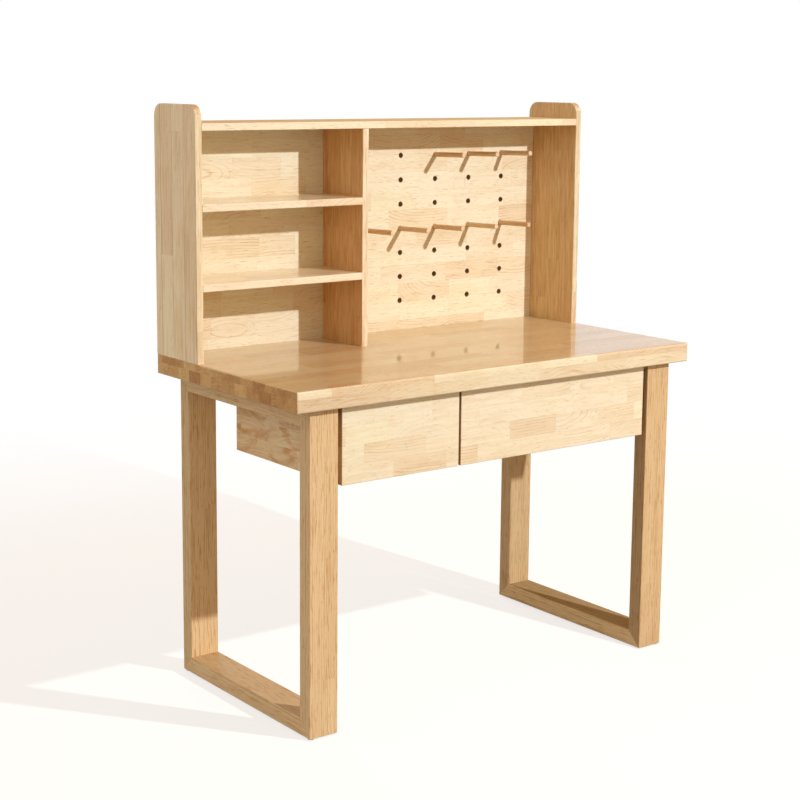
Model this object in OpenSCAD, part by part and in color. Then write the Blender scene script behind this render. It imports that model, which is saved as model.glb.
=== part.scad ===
// Solid wood workbench: a thick laminated desktop on two mitred loop frames,
// a case of two drawers hung below it, and a hutch with shelves and a peg panel.
// Front is -Y, the origin is on the floor under the middle of the bench.

/* [Desktop] */
// Length of the desktop from side to side
desk_w = 1200; // [1100:10:1800]
// Depth of the desktop from front to rear
desk_d = 610; // [560:5:800]
// Thickness of the desktop slab
desk_t = 48; // [42:1:70]
// Height of the desktop's upper face above the floor
desk_h = 800; // [700:5:950]
// Radius of the desktop's rounded edges
desk_edge_r = 4; // [1:0.5:8]

/* [Leg frames] */
// Width of the frame members from side to side
leg_w = 76; // [62:1:100]
// Thickness of the frame members in the plane of the loop
leg_t = 40; // [38:1:60]
// Distance from the desktop's side to the frame
leg_side_inset = 46; // [30:1:100]
// Distance from the desktop's front edge to the frame
leg_front_inset = 20; // [8:1:60]
// Distance from the desktop's rear edge to the frame
leg_rear_inset = 30; // [8:1:60]
// Radius of the eased edges along the frame members
leg_edge_r = 2; // [0.5:0.5:5]
// Width of the loose tenon in each mitre
tenon_w = 50; // [30:1:52]
// Thickness of the loose tenon
tenon_t = 10; // [6:1:12]
// Length of the loose tenon across the mitre
tenon_len = 34; // [24:1:34]
// Diameter of the glides under the frames
glide_d = 16; // [12:1:24]
// Height of the glides
glide_h = 3; // [2:0.5:6]
// Distance from the frame's edges to a glide
glide_edge = 2; // [1:0.5:10]

/* [Drawer case] */
// Height that the case hangs down below the desktop
case_drop = 180; // [172:1:240]
// Depth of the case from front to rear
case_d = 420; // [360:5:460]
// Thickness of the case's sides and partition
case_t = 18; // [16:1:22]
// Thickness of the case's back
case_back_t = 12; // [10:1:18]
// Gap between the case and each leg frame
case_leg_gap = 12; // [4:1:40]
// Width of the flat rails that tie the case to the desktop
rail_w = 60; // [50:1:90]
// Thickness of the flat rails
rail_t = 18; // [16:1:24]

/* [Drawer faces] */
// Width of the left drawer's face
left_face_w = 332; // [260:1:480]
// Thickness of the drawer faces
face_t = 20; // [16:1:24]
// Gap between the two faces
face_gap = 6; // [2:0.5:10]
// Gap between the faces and the desktop
face_top_gap = 4; // [2:0.5:10]
// Distance that the faces sit behind the front of the leg frames
face_setback = 3; // [0:0.5:15]
// Radius of the eased edges of the faces
face_edge_r = 1.5; // [0.5:0.5:4]
// Thickness of the rubber bumpers between the case and the faces
bumper_t = 2; // [1:0.5:4]
// Diameter of the rubber bumpers
bumper_d = 8; // [6:1:12]

/* [Drawer boxes] */
// Height of the drawer boxes
box_h = 130; // [90:1:136]
// Height of the box's lower edge above the face's lower edge
box_lift = 12; // [8:1:16]
// Thickness of the box's sides, front and back
box_t = 12; // [10:1:15]
// Clearance behind a closed box
box_rear_gap = 8; // [4:1:20]
// Thickness of the drawer bottoms
bottom_t = 5; // [4:0.5:8]
// Depth of the groove that holds a bottom
groove_depth = 6; // [4:0.5:7]
// Height of the groove above the box's lower edge
groove_lift = 10; // [8:1:16]
// Gap between a bottom's edges and the ends of its grooves
bottom_gap = 0.5; // [0.5:0.5:1]
// Number of dovetails at each corner
tails = 3; // [2:1:4]
// Share of a corner's height that the tails take at their roots
tail_share = 0.5; // [0.4:0.05:0.6]
// Flare of a dovetail on each side
tail_flare = 2; // [1:0.5:3]
// How far a drawer pulls out
drawer_travel = 380; // [250:5:380]

/* [Drawer slides] */
// Width that a slide takes between the case and a box
slide_w = 12.7; // [12.5:0.1:13.5]
// Height of the slides
slide_h = 45; // [35:1:46]
// Gauge of the slides' steel
slide_gauge = 1.2; // [1:0.1:1.3]
// Running gap between the nested members
slide_gap = 0.4; // [0.3:0.05:0.5]
// Inner radius of the bends in that steel
slide_bend_r = 0.8; // [0.4:0.1:1]
// Room for screw heads between the case member's web and the middle member
slide_head_room = 2.4; // [2:0.1:2.6]
// Diameter of the screw holes in the slides' webs
slide_hole_d = 4.5; // [4:0.5:5.5]
// Diameter of the holes in the middle members that let a driver through
slide_access_d = 12; // [9:1:16]
// Distance from the ends of the case's depth to a slide
slide_end_gap = 4; // [2:1:10]
// How much shorter the moving members are
slide_stagger = 10; // [6:1:20]

/* [Hutch] */
// Height of the hutch above the desktop
hutch_h = 600; // [500:5:900]
// Depth of the hutch
hutch_d = 192; // [150:1:300]
// Thickness of the hutch's boards
hutch_t = 18; // [16:1:22]
// Thickness of the hutch's back panel
back_t = 18; // [15:1:20]
// Radius of the side panels' upper corners
hutch_corner_r = 30; // [10:1:36]
// Radius of the eased edges of the hutch's boards
hutch_edge_r = 2; // [0.5:0.5:4]
// Distance from the side panels' tops down to the top board
hutch_top_drop = 42; // [38:1:80]
// Clear width of the shelf bays on the left
shelf_bay_w = 454; // [300:1:600]

/* [Pegs] */
// Diameter of the pegs
peg_d = 13; // [10:0.5:15]
// Length of a peg in front of the panel
peg_reach = 121; // [60:1:121]
// Upward tilt of the pegs and their holes in degrees
peg_tilt = 1.5; // [0:0.5:5]
// Distance from a peg's rear end to the panel's rear face
peg_rear_gap = 1; // [0.5:0.5:3]
// Distance between two rows of holes
peg_row_pitch = 64; // [40:1:68]
// Width of the chamfer round each hole and each peg's tip
peg_chamfer = 0.8; // [0.4:0.2:1.5]

/* [Fasteners] */
// Diameter of the bolts through the frames' top rails
bolt_d = 8; // [6:1:10]
// Distance between two of a frame's bolts
bolt_pitch = 200; // [150:5:210]
// Length of those bolts under the head
bolt_len = 45; // [42:1:48]
// Diameter of the bolts' heads
bolt_head_d = 15; // [13:1:17]
// Height of the bolts' heads
bolt_head_h = 5; // [4:0.5:6]
// Width of the bolts' hexagon sockets over their corners
bolt_socket_d = 5; // [4:0.5:6]
// Depth of those sockets
bolt_socket_depth = 3.5; // [2:0.5:3.5]
// Diameter of the washers
washer_d = 20; // [18:1:24]
// Thickness of the washers
washer_t = 1.6; // [1:0.2:2.4]
// Depth of the bolts' counterbores
bolt_sink = 12; // [9:1:16]
// Outer diameter of the threaded inserts
insert_d = 12; // [11:0.5:14]
// Length of the threaded inserts
insert_len = 20; // [15:1:25]
// Diameter of the dowels that locate the hutch
post_dowel_d = 10; // [8:1:12]
// Length of the dowels that locate the hutch
post_dowel_len = 40; // [30:1:44]
// Diameter of the dowels in the hutch and the case
dowel_d = 8; // [6:1:9]
// Length of the dowels in the hutch and the case
dowel_len = 30; // [24:1:34]
// Depth that those dowels go into a board's face
dowel_face_depth = 10; // [8:1:12]
// Diameter of the screws that hold the hutch down
hutch_screw_d = 6; // [5:0.5:7]
// Length of those screws with their heads
hutch_screw_len = 76; // [65:1:90]
// Diameter of those screws' heads
hutch_screw_head_d = 12; // [10:1:14]
// Height of those screws' heads
hutch_screw_head_h = 3; // [2:0.5:4]
// Depth that those screws are sunk in the desktop
hutch_screw_sink = 14; // [8:1:18]
// Diameter of the screws through the case's rails
case_screw_d = 4.5; // [4:0.5:6]
// Length of the screws through the case's rails
case_screw_len = 45; // [35:1:50]

/* [Fits] */
// Clearance round dowels, bolts and other round parts that stay put
hole_clear = 0.1; // [0.05:0.05:0.2]
// Depth of those parts' holes beyond their ends
hole_end_gap = 1; // [0.5:0.5:2]
// Clearance round the bolts, which lets the wood move
bolt_play = 0.5; // [0.3:0.1:1]
// Clearance of the washers round the bolts
washer_clear = 0.2; // [0.1:0.1:0.4]
// Clearance round washers and sunk heads
sink_play = 1; // [0.5:0.5:1.5]
// Clearance round pegs in their holes
peg_clear = 0.1; // [0.05:0.01:0.1]
// Clearance in mitre sockets, dovetails and grooves
joint_clear = 0.1; // [0.05:0.05:0.2]

/* [Hidden] */
$fn = 48;
arc_fn = 32;
eps = 1;

// Shares of a board's length or width at which its fasteners sit, from both ends
quarters = [0.25, 0.75];
thirds = [-2 / 3, 0, 2 / 3];
post_dowel_share = 0.15;
post_screw_share = 0.38;
board_dowel_share = 0.22;
case_hole_shares = [0.08, 0.5, 0.92];
drawer_hole_shares = [0.08, 0.36, 0.64, 0.92];
panel_dowel_shares = [0.12, 0.5, 0.88];
function both_ends(from, len, share) = [from + len * share, from + len * (1 - share)];

LEFT = 0;
RIGHT = 1;

// Planes of the bench
desk_x = desk_w / 2;
front_y = -desk_d / 2;
rear_y = desk_d / 2;
under_z = desk_h - desk_t;

// Leg frames: outline of the loop and places of its bolts
frame_x = desk_x - leg_side_inset - leg_w / 2;
frame_y0 = front_y + leg_front_inset;
frame_y1 = rear_y - leg_rear_inset;
frame_z0 = glide_h;
frame_len = frame_y1 - frame_y0;
frame_high = under_z - frame_z0;
bolt_ys = [for (i = [-1:1]) (frame_y0 + frame_y1) / 2 + i * bolt_pitch];
glide_in = glide_edge + glide_d / 2;

// Drawer case
case_x = desk_x - leg_side_inset - leg_w - case_leg_gap;
case_in_x = case_x - case_t;
case_z = under_z - case_drop;
face_y = frame_y0 + face_setback;
face_back_y = face_y + face_t;
case_y0 = face_back_y + bumper_t;
case_y1 = case_y0 + case_d;
back_y = case_y1 - case_back_t;
split_x = -case_x + left_face_w + face_gap / 2;
face_h = case_drop - face_top_gap;
rail_z = under_z - rail_t;
rail_y0s = [case_y0, back_y - rail_w];
case_screw_xs = thirds * case_in_x;
back_dowel_zs = [for (k = quarters) case_z + k * (case_drop - rail_t)];
case_head_d = 2 * case_screw_d;

// Drawer boxes: the two openings, then each box
open_x0 = [-case_in_x, split_x + case_t / 2];
open_x1 = [split_x - case_t / 2, case_in_x];
box_z = case_z + box_lift;
box_d = back_y - box_rear_gap - face_back_y;
slide_z = box_z + box_h / 2;
slide_y = case_y0 + slide_end_gap;
slide_len = back_y - case_y0 - 2 * slide_end_gap;
runner_len = slide_len - slide_stagger;
slide_step = slide_gauge + slide_gap;
slide_fold_r = slide_bend_r + slide_gauge;

// Hutch
hutch_y0 = rear_y - hutch_d;
hutch_top_z = desk_h + hutch_h;
top_z = hutch_top_z - hutch_top_drop - hutch_t;
inner_x = desk_x - hutch_t;
divider_x0 = -inner_x + shelf_bay_w;
divider_x1 = divider_x0 + hutch_t;
panel_y = rear_y - back_t;
board_d = hutch_d - back_t;
shelf_bays = 3;
bay_h = (top_z - desk_h - (shelf_bays - 1) * hutch_t) / shelf_bays;
shelf_zs = [for (i = [1:shelf_bays - 1]) desk_h + i * bay_h + (i - 1) * hutch_t];
post_xs = [-desk_x + hutch_t / 2, (divider_x0 + divider_x1) / 2, desk_x - hutch_t / 2];
post_dowel_ys = both_ends(hutch_y0, board_d, post_dowel_share);
post_hole_depth = post_dowel_len / 2 + hole_end_gap;
post_screw_ys = both_ends(hutch_y0, board_d, post_screw_share);
board_dowel_ys = both_ends(hutch_y0, board_d, board_dowel_share);
panel_dowel_zs = [for (k = panel_dowel_shares) desk_h + k * (top_z - desk_h)];

// Peg holes: five columns share the right bay evenly, seven rows are centred in it
peg_cols = 5;
peg_rows = 7;
peg_col_pitch = (inner_x - divider_x1) / (peg_cols + 1);
peg_row1_z = (desk_h + top_z) / 2 + peg_row_pitch * (peg_rows - 1) / 2;
peg_seat = (back_t - peg_rear_gap) / cos(peg_tilt);
// Column and row of each peg, counted from the left and from the top
pegs = [[2, 0], [3, 0], [4, 0], [0, 3], [1, 3], [2, 3], [3, 3], [4, 3]];

// Rectangle with rounded corners, from its lower left corner
module rounded_rect(w, h, r) {
    translate([r, 0]) square([w - 2 * r, h]);
    translate([0, r]) square([w, h - 2 * r]);
    for (x = [r, w - r], y = [r, h - r]) translate([x, y]) circle(r, $fn = arc_fn);
}

// Bar section with fully round sides
module stadium(w, h) {
    translate([h / 2, 0]) square([w - h, h]);
    for (x = [h / 2, w - h / 2]) translate([x, h / 2]) circle(h / 2, $fn = arc_fn);
}

// Extrusions along X and Y of a profile drawn in the YZ and XZ planes
module along_x(len) {
    rotate([90, 0, 90]) linear_extrude(len) children();
}
module along_y(len) {
    translate([0, len, 0]) rotate([90, 0, 0]) linear_extrude(len) children();
}

// Board with all twelve edges rounded
module rounded_block(size, r) {
    intersection() {
        along_x(size.x) rounded_rect(size.y, size.z, r);
        along_y(size.y) rounded_rect(size.x, size.z, r);
        linear_extrude(size.z) rounded_rect(size.x, size.y, r);
    }
}

// Dowel or hole along Z or X, centred on the joint between two boards
module pin_z(p, d, down, up) {
    translate([p.x, p.y, p.z - down]) cylinder(h = down + up, d = d);
}
module pin_x(p, d, left, right) {
    translate([p.x - left, p.y, p.z]) rotate([0, 90, 0]) cylinder(h = left + right, d = d);
}

// Places of the dowels: [x, y, z] of the joint and the sign of the board's face
top_joints = [for (s = [-1, 1], y = board_dowel_ys) [[s * inner_x, y, top_z + hutch_t / 2], s]];
shelf_side_joints = [for (z = shelf_zs, y = board_dowel_ys) [[-inner_x, y, z + hutch_t / 2], -1]];
shelf_divider_joints = [for (z = shelf_zs, y = board_dowel_ys) [[divider_x0, y, z + hutch_t / 2], 1]];
panel_joints = [for (s = [-1, 1], z = panel_dowel_zs) [[s * inner_x, panel_y + back_t / 2, z], s]];
rail_joints = [for (s = [-1, 1], y = rail_y0s, k = quarters)
    [[s * case_in_x, y + k * rail_w, rail_z + rail_t / 2], s]];
case_back_joints = [for (s = [-1, 1], z = back_dowel_zs)
    [[s * case_in_x, back_y + case_back_t / 2, z], s]];

// Dowels across joints whose face side is at +X or -X
module face_dowels(joints) {
    in_end = dowel_len - dowel_face_depth;
    for (j = joints)
        pin_x(j[0], dowel_d, j[1] > 0 ? in_end : dowel_face_depth,
              j[1] > 0 ? dowel_face_depth : in_end);
}
// Their holes, a little deeper and wider
module face_dowel_holes(joints) {
    in_face = dowel_face_depth + hole_end_gap;
    in_end = dowel_len - dowel_face_depth + hole_end_gap;
    for (j = joints)
        pin_x(j[0], dowel_d + 2 * hole_clear, j[1] > 0 ? in_end : in_face,
              j[1] > 0 ? in_face : in_end);
}

// Desktop

module desktop() {
    color("burlywood") difference() {
        translate([-desk_x, front_y, under_z])
            rounded_block([desk_w, desk_d, desk_t], desk_edge_r);
        insert_holes();
        for (x = post_xs) {
            for (y = post_dowel_ys)
                pin_z([x, y, desk_h], post_dowel_d + 2 * hole_clear, post_hole_depth, eps);
            for (y = post_screw_ys) hutch_screw_hole([x, y, under_z]);
        }
        case_screw_holes();
    }
}

module insert_holes() {
    for (s = [-1, 1], y = bolt_ys)
        pin_z([s * frame_x, y, under_z], insert_d + 2 * hole_clear, eps, insert_len + hole_end_gap);
}

// Threaded inserts, flush with the desktop's underside
module desktop_inserts() {
    color("goldenrod") for (s = [-1, 1], y = bolt_ys)
        difference() {
            pin_z([s * frame_x, y, under_z], insert_d, 0, insert_len);
            pin_z([s * frame_x, y, under_z], bolt_d + 2 * hole_clear, eps, insert_len + eps);
        }
}

// Leg frames

// Loose tenon centred on a mitre, turned to lie square across it
module mitre_tenon(clear) {
    rotate([45, 0, 0])
        translate([-tenon_w / 2 - clear, -tenon_t / 2 - clear, -tenon_len / 2 - clear])
            linear_extrude(tenon_len + 2 * clear)
                stadium(tenon_w + 2 * clear, tenon_t + 2 * clear);
}

// Upright member with both ends mitred: outer face at y = 0, from z = 0 up
module mitred_bar(len) {
    difference() {
        intersection() {
            translate([-leg_w / 2, 0, 0]) linear_extrude(len) rounded_rect(leg_w, leg_t, leg_edge_r);
            translate([-leg_w / 2, 0, 0]) along_x(leg_w)
                polygon([[0, 0], [leg_t, leg_t], [leg_t, len - leg_t], [0, len]]);
        }
        translate([0, leg_t / 2, leg_t / 2]) mitre_tenon(joint_clear);
        translate([0, leg_t / 2, len - leg_t / 2]) mirror([0, 0, 1]) mitre_tenon(joint_clear);
    }
}

module front_post(side) {
    color("peru") translate([side * frame_x, frame_y0, frame_z0]) mitred_bar(frame_high);
}
module rear_post(side) {
    color("peru") translate([side * frame_x, frame_y1, frame_z0]) mirror([0, 1, 0])
        mitred_bar(frame_high);
}
module bottom_rail(side) {
    color("peru") translate([side * frame_x, frame_y0, frame_z0]) mirror([0, 1, -1])
        mitred_bar(frame_len);
}
module top_rail(side) {
    color("peru") difference() {
        translate([side * frame_x, frame_y0, under_z]) rotate([-90, 0, 0]) mitred_bar(frame_len);
        for (y = bolt_ys) {
            pin_z([side * frame_x, y, under_z], bolt_d + 2 * bolt_play, leg_t + eps, eps);
            pin_z([side * frame_x, y, under_z - leg_t], washer_d + 2 * sink_play, eps, bolt_sink);
        }
    }
}

// One tenon in each corner of both loops
module mitre_tenons() {
    in = leg_t / 2;
    color("tan") for (s = [-1, 1]) {
        translate([s * frame_x, frame_y0 + in, frame_z0 + in]) mitre_tenon(0);
        translate([s * frame_x, frame_y0 + in, under_z - in]) mirror([0, 0, 1]) mitre_tenon(0);
        translate([s * frame_x, frame_y1 - in, frame_z0 + in]) mirror([0, 1, 0]) mitre_tenon(0);
        translate([s * frame_x, frame_y1 - in, under_z - in]) rotate([180, 0, 0]) mitre_tenon(0);
    }
}

// Nylon glides under the outer corners of the bottom rails
module foot_glides() {
    glide_x = frame_x + leg_w / 2 - glide_in;
    color("dimgray") for (s = [-1, 1], y = [frame_y0 + glide_in, frame_y1 - glide_in])
        translate([s * glide_x, y, 0]) {
            cylinder(h = glide_h / 2, d1 = glide_d - glide_h, d2 = glide_d);
            translate([0, 0, glide_h / 2]) cylinder(h = glide_h / 2, d = glide_d);
        }
}

// Bolts with flat socket heads, up through the top rails into the inserts
module frame_bolts() {
    head_z = under_z - leg_t + bolt_sink - washer_t;
    color("silver") for (s = [-1, 1], y = bolt_ys)
        translate([s * frame_x, y, head_z]) {
            cylinder(h = bolt_len, d = bolt_d);
            translate([0, 0, -bolt_head_h]) difference() {
                cylinder(h = bolt_head_h, d = bolt_head_d);
                translate([0, 0, -eps])
                    cylinder(h = bolt_socket_depth + eps, d = bolt_socket_d, $fn = 6);
            }
        }
}
module frame_washers() {
    washer_z = under_z - leg_t + bolt_sink;
    color("silver") for (s = [-1, 1], y = bolt_ys)
        difference() {
            pin_z([s * frame_x, y, washer_z], washer_d, washer_t, 0);
            pin_z([s * frame_x, y, washer_z], bolt_d + 2 * washer_clear, washer_t + eps, eps);
        }
}

// Drawer case

module case_side(side) {
    color("wheat") difference() {
        translate([side > 0 ? case_in_x : -case_x, case_y0, case_z])
            cube([case_t, case_d, case_drop]);
        face_dowel_holes(rail_joints);
        face_dowel_holes(case_back_joints);
    }
}

// The partition is notched round both rails and butts against the back
module case_partition() {
    color("wheat") difference() {
        translate([split_x - case_t / 2, case_y0, case_z])
            cube([case_t, case_d - case_back_t, case_drop]);
        for (y = rail_y0s)
            translate([split_x - case_t, y - eps, rail_z])
                cube([2 * case_t, rail_w + 2 * eps, rail_t + eps]);
    }
}

module case_back() {
    color("wheat") difference() {
        translate([-case_in_x, back_y, case_z]) cube([2 * case_in_x, case_back_t, case_drop]);
        face_dowel_holes(case_back_joints);
    }
}

module case_rail(y) {
    color("wheat") difference() {
        translate([-case_in_x, y, rail_z]) cube([2 * case_in_x, rail_w, rail_t]);
        face_dowel_holes(rail_joints);
        case_screw_holes();
    }
}

module case_dowels() {
    color("tan") {
        face_dowels(rail_joints);
        face_dowels(case_back_joints);
    }
}

// Countersunk screws up through the rails into the desktop
module case_screw(p, d, head_d, len) {
    head_h = (head_d - d) / 2;
    translate([p.x, p.y, p.z]) {
        cylinder(h = len, d = d);
        cylinder(h = head_h, d1 = head_d, d2 = d);
    }
}
module case_screws() {
    color("silver") for (x = case_screw_xs, y = rail_y0s)
        case_screw([x, y + rail_w / 2, rail_z], case_screw_d, case_head_d, case_screw_len);
}
module case_screw_holes() {
    wide = 2 * hole_clear;
    for (x = case_screw_xs, y = rail_y0s)
        case_screw([x, y + rail_w / 2, rail_z], case_screw_d + wide, case_head_d + wide,
                   case_screw_len + hole_end_gap);
}

// Rubber pads on the front edges of the sides and the partition
module case_bumpers() {
    bumper_xs = [-case_x + case_t / 2, split_x - case_t / 2 + bumper_d / 2,
                 split_x + case_t / 2 - bumper_d / 2, case_x - case_t / 2];
    color("white") for (x = bumper_xs, z = [case_z + bumper_d, rail_z - bumper_d])
        translate([x, case_y0, z]) rotate([90, 0, 0]) cylinder(h = bumper_t, d = bumper_d);
}

// Slides: three nested members of folded steel, drawn from the case's face towards the box.
// The case and middle members are channels open towards the box, and their edges turn in.
// The drawer member is a channel the other way round, and its edges turn out behind those.

// Section of a channel from x0 to x1 between +-half, its edges turned in
module inward_section(x0, x1, half) {
    w = x1 - x0;
    // The edges come in far enough to trap the next member
    mouth = half - slide_step - slide_gauge;
    difference() {
        translate([x0, -half]) rounded_rect(w, 2 * half, slide_fold_r);
        translate([x0 + slide_gauge, slide_gauge - half])
            rounded_rect(w - 2 * slide_gauge, 2 * (half - slide_gauge), slide_bend_r);
        translate([x1 - w / 2, -mouth]) square([w, 2 * mouth]);
    }
}

// Section of the drawer member: walls at +-wall, edges turned out to +-half, its web up to x1
module outward_section(x0, x1, wall, half) {
    r = slide_bend_r;
    outer_r = slide_fold_r;
    difference() {
        union() {
            translate([x0 - outer_r, -wall]) rounded_rect(x1 - x0 + outer_r, 2 * wall, outer_r);
            translate([x0, -half]) square([outer_r, 2 * half]);
        }
        // The hollow, and what lies beyond the edges
        translate([x0 - 2 * outer_r, slide_gauge - wall])
            rounded_rect(x1 - slide_gauge - x0 + 2 * outer_r, 2 * (wall - slide_gauge), r);
        translate([x0 - 2 * outer_r, -half]) square([2 * outer_r, 2 * half]);
        // Both faces of the bends at the edges
        for (s = [-1, 1]) translate([x0 + outer_r, s * (wall + r)]) {
            circle(r, $fn = arc_fn);
            translate([-r, s > 0 ? 0 : -half]) square([2 * r, half]);
            difference() {
                translate([-outer_r, s > 0 ? -outer_r : 0]) square(outer_r);
                circle(outer_r, $fn = arc_fn);
            }
        }
    }
}

// Row of holes along Y through the steel between x0 and x1
module web_holes(x0, x1, d, len, shares) {
    for (k = shares) pin_x([x0, k * len, 0], d, eps, x1 - x0 + eps);
}

case_member_x1 = slide_w - slide_gauge - 2 * slide_gap;
middle_x0 = slide_gauge + slide_head_room;
middle_x1 = case_member_x1 - slide_step;
drawer_member_x0 = middle_x1 - slide_step - slide_gauge;

module case_member() {
    difference() {
        along_y(slide_len) inward_section(0, case_member_x1, slide_h / 2);
        web_holes(0, slide_gauge, slide_hole_d, slide_len, case_hole_shares);
    }
}
module middle_member() {
    difference() {
        along_y(runner_len) inward_section(middle_x0, middle_x1, slide_h / 2 - slide_step);
        web_holes(middle_x0, middle_x0 + slide_gauge, slide_access_d, slide_len, case_hole_shares);
    }
}
module drawer_member() {
    half = slide_h / 2 - 2 * slide_step;
    difference() {
        along_y(runner_len) outward_section(drawer_member_x0, slide_w, half - slide_step, half);
        web_holes(slide_w - slide_gauge, slide_w, slide_hole_d, runner_len, drawer_hole_shares);
    }
}

// A pair of members, one at each side of a drawer's opening
module slide_pair(i) {
    translate([open_x0[i], slide_y, slide_z]) children();
    translate([open_x1[i], slide_y, slide_z]) mirror([1, 0, 0]) children();
}
module slide_case_members() {
    color("silver") for (i = [LEFT, RIGHT]) slide_pair(i) case_member();
}
module slide_middles(i) {
    color("silver") slide_pair(i) middle_member();
}
module drawer_slide_members(i) {
    color("silver") slide_pair(i) drawer_member();
}

// Drawers

face_x0 = [-case_x, -case_x + left_face_w + face_gap];
face_x1 = [-case_x + left_face_w, case_x];

module drawer_face(i) {
    color("moccasin") translate([face_x0[i], face_y, case_z])
        rounded_block([face_x1[i] - face_x0[i], face_t, face_h], face_edge_r);
}

function box_x0(i) = open_x0[i] + slide_w;
function box_x1(i) = open_x1[i] - slide_w;

// Tails at the front end of a side, as an outline in Y and Z
module tail_outline(clear) {
    pitch = box_h / tails;
    root = pitch * tail_share / 2 + clear;
    for (k = [0:tails - 1]) {
        z = (k + 0.5) * pitch;
        polygon([[box_t, z - root], [0, z - root - tail_flare],
                 [0, z + root + tail_flare], [box_t, z + root]]);
    }
}

// Tails of all four corners of a box, as wide as its sides
module box_tails(i, clear) {
    for (x = [box_x0(i), box_x1(i) - box_t])
        translate([x, face_back_y, box_z]) {
            along_x(box_t) tail_outline(clear);
            translate([0, box_d, 0]) mirror([0, 1, 0]) along_x(box_t) tail_outline(clear);
        }
}

// Space of a bottom panel: its gap to the grooves' ends and the clearance on its faces
module bottom_space(i, gap, clear) {
    in = box_t - groove_depth + gap;
    translate([box_x0(i) + in, face_back_y + in, box_z + groove_lift - clear])
        cube([box_x1(i) - box_x0(i) - 2 * in, box_d - 2 * in, bottom_t + 2 * clear]);
}

module drawer_side(i, x) {
    color("wheat") difference() {
        translate([x, face_back_y, box_z]) {
            translate([0, box_t, 0]) cube([box_t, box_d - 2 * box_t, box_h]);
            along_x(box_t) tail_outline(0);
            translate([0, box_d, 0]) mirror([0, 1, 0]) along_x(box_t) tail_outline(0);
        }
        bottom_space(i, 0, joint_clear);
    }
}
module drawer_end(i, y) {
    color("wheat") difference() {
        translate([box_x0(i), y, box_z]) cube([box_x1(i) - box_x0(i), box_t, box_h]);
        box_tails(i, joint_clear / 2);
        bottom_space(i, 0, joint_clear);
    }
}
module drawer_front(i) {
    drawer_end(i, face_back_y);
}
module drawer_back(i) {
    drawer_end(i, face_back_y + box_d - box_t);
}
module drawer_left_side(i) {
    drawer_side(i, box_x0(i));
}
module drawer_right_side(i) {
    drawer_side(i, box_x1(i) - box_t);
}
module drawer_bottom(i) {
    color("wheat") bottom_space(i, bottom_gap, 0);
}

// Hutch

// Section of a board's end with its two outer edges eased: length r from the inside out
module rim_profile(r, t, e) {
    square([r - e, t]);
    translate([0, e]) square([r, t - 2 * e]);
    for (z = [e, t - e]) translate([r - e, z]) circle(e, $fn = arc_fn);
}

// Side panel: straight below, round at both upper corners, every free edge eased
module hutch_side(side) {
    r = hutch_corner_r;
    straight = hutch_h - r;
    color("wheat") difference() {
        translate([side > 0 ? inner_x : -desk_x, hutch_y0, desk_h]) {
            linear_extrude(straight) rounded_rect(hutch_t, hutch_d, hutch_edge_r);
            translate([0, r, straight]) along_y(hutch_d - 2 * r)
                mirror([1, -1, 0]) rim_profile(r, hutch_t, hutch_edge_r);
            for (end = [0, 1])
                translate([0, end ? hutch_d - r : r, straight]) rotate([0, 90, 0])
                    rotate([0, 0, end ? 90 : 180]) rotate_extrude(angle = 90)
                        rim_profile(r, hutch_t, hutch_edge_r);
        }
        face_dowel_holes(top_joints);
        face_dowel_holes(panel_joints);
        face_dowel_holes(shelf_side_joints);
        hutch_post_holes();
    }
}

module hutch_divider() {
    color("wheat") difference() {
        translate([divider_x0, hutch_y0, desk_h])
            linear_extrude(top_z - desk_h) rounded_rect(hutch_t, board_d, hutch_edge_r);
        face_dowel_holes(shelf_divider_joints);
        divider_top_holes();
        hutch_post_holes();
    }
}

// Board that lies across the hutch, with its long edges eased
module flat_board(x0, x1, z, depth) {
    translate([x0, hutch_y0, z]) along_x(x1 - x0) rounded_rect(depth, hutch_t, hutch_edge_r);
}

module hutch_top() {
    color("wheat") difference() {
        flat_board(-inner_x, inner_x, top_z, hutch_d);
        face_dowel_holes(top_joints);
        divider_top_holes();
    }
}
module shelf(z) {
    color("wheat") difference() {
        flat_board(-inner_x, divider_x0, z, board_d);
        face_dowel_holes(shelf_side_joints);
        face_dowel_holes(shelf_divider_joints);
    }
}

// Where a peg hole's axis meets the panel's front face
function hole_at(c, r) =
    [divider_x1 + (c + 1) * peg_col_pitch, panel_y, peg_row1_z - r * peg_row_pitch];

// Turns a child that points along +Z to point out of the panel, tilted up
module peg_axis(c, r) {
    translate(hole_at(c, r)) rotate([90 - peg_tilt, 0, 0]) children();
}

module hutch_back() {
    hole_r = peg_d / 2 + peg_clear;
    color("wheat") difference() {
        translate([-inner_x, panel_y, desk_h]) cube([2 * inner_x, back_t, top_z - desk_h]);
        for (c = [0:peg_cols - 1], r = [0:peg_rows - 1]) peg_axis(c, r) {
            translate([0, 0, -2 * back_t]) cylinder(h = 3 * back_t, r = hole_r);
            translate([0, 0, -peg_chamfer])
                cylinder(h = 2 * peg_chamfer, r1 = hole_r, r2 = hole_r + 2 * peg_chamfer);
        }
        face_dowel_holes(panel_joints);
    }
}

module peg(n) {
    peg_r = peg_d / 2;
    color("peru") peg_axis(pegs[n][0], pegs[n][1]) {
        translate([0, 0, -peg_seat]) cylinder(h = peg_seat + peg_reach - peg_chamfer, r = peg_r);
        translate([0, 0, peg_reach - peg_chamfer])
            cylinder(h = peg_chamfer, r1 = peg_r, r2 = peg_r - peg_chamfer);
    }
}

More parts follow.
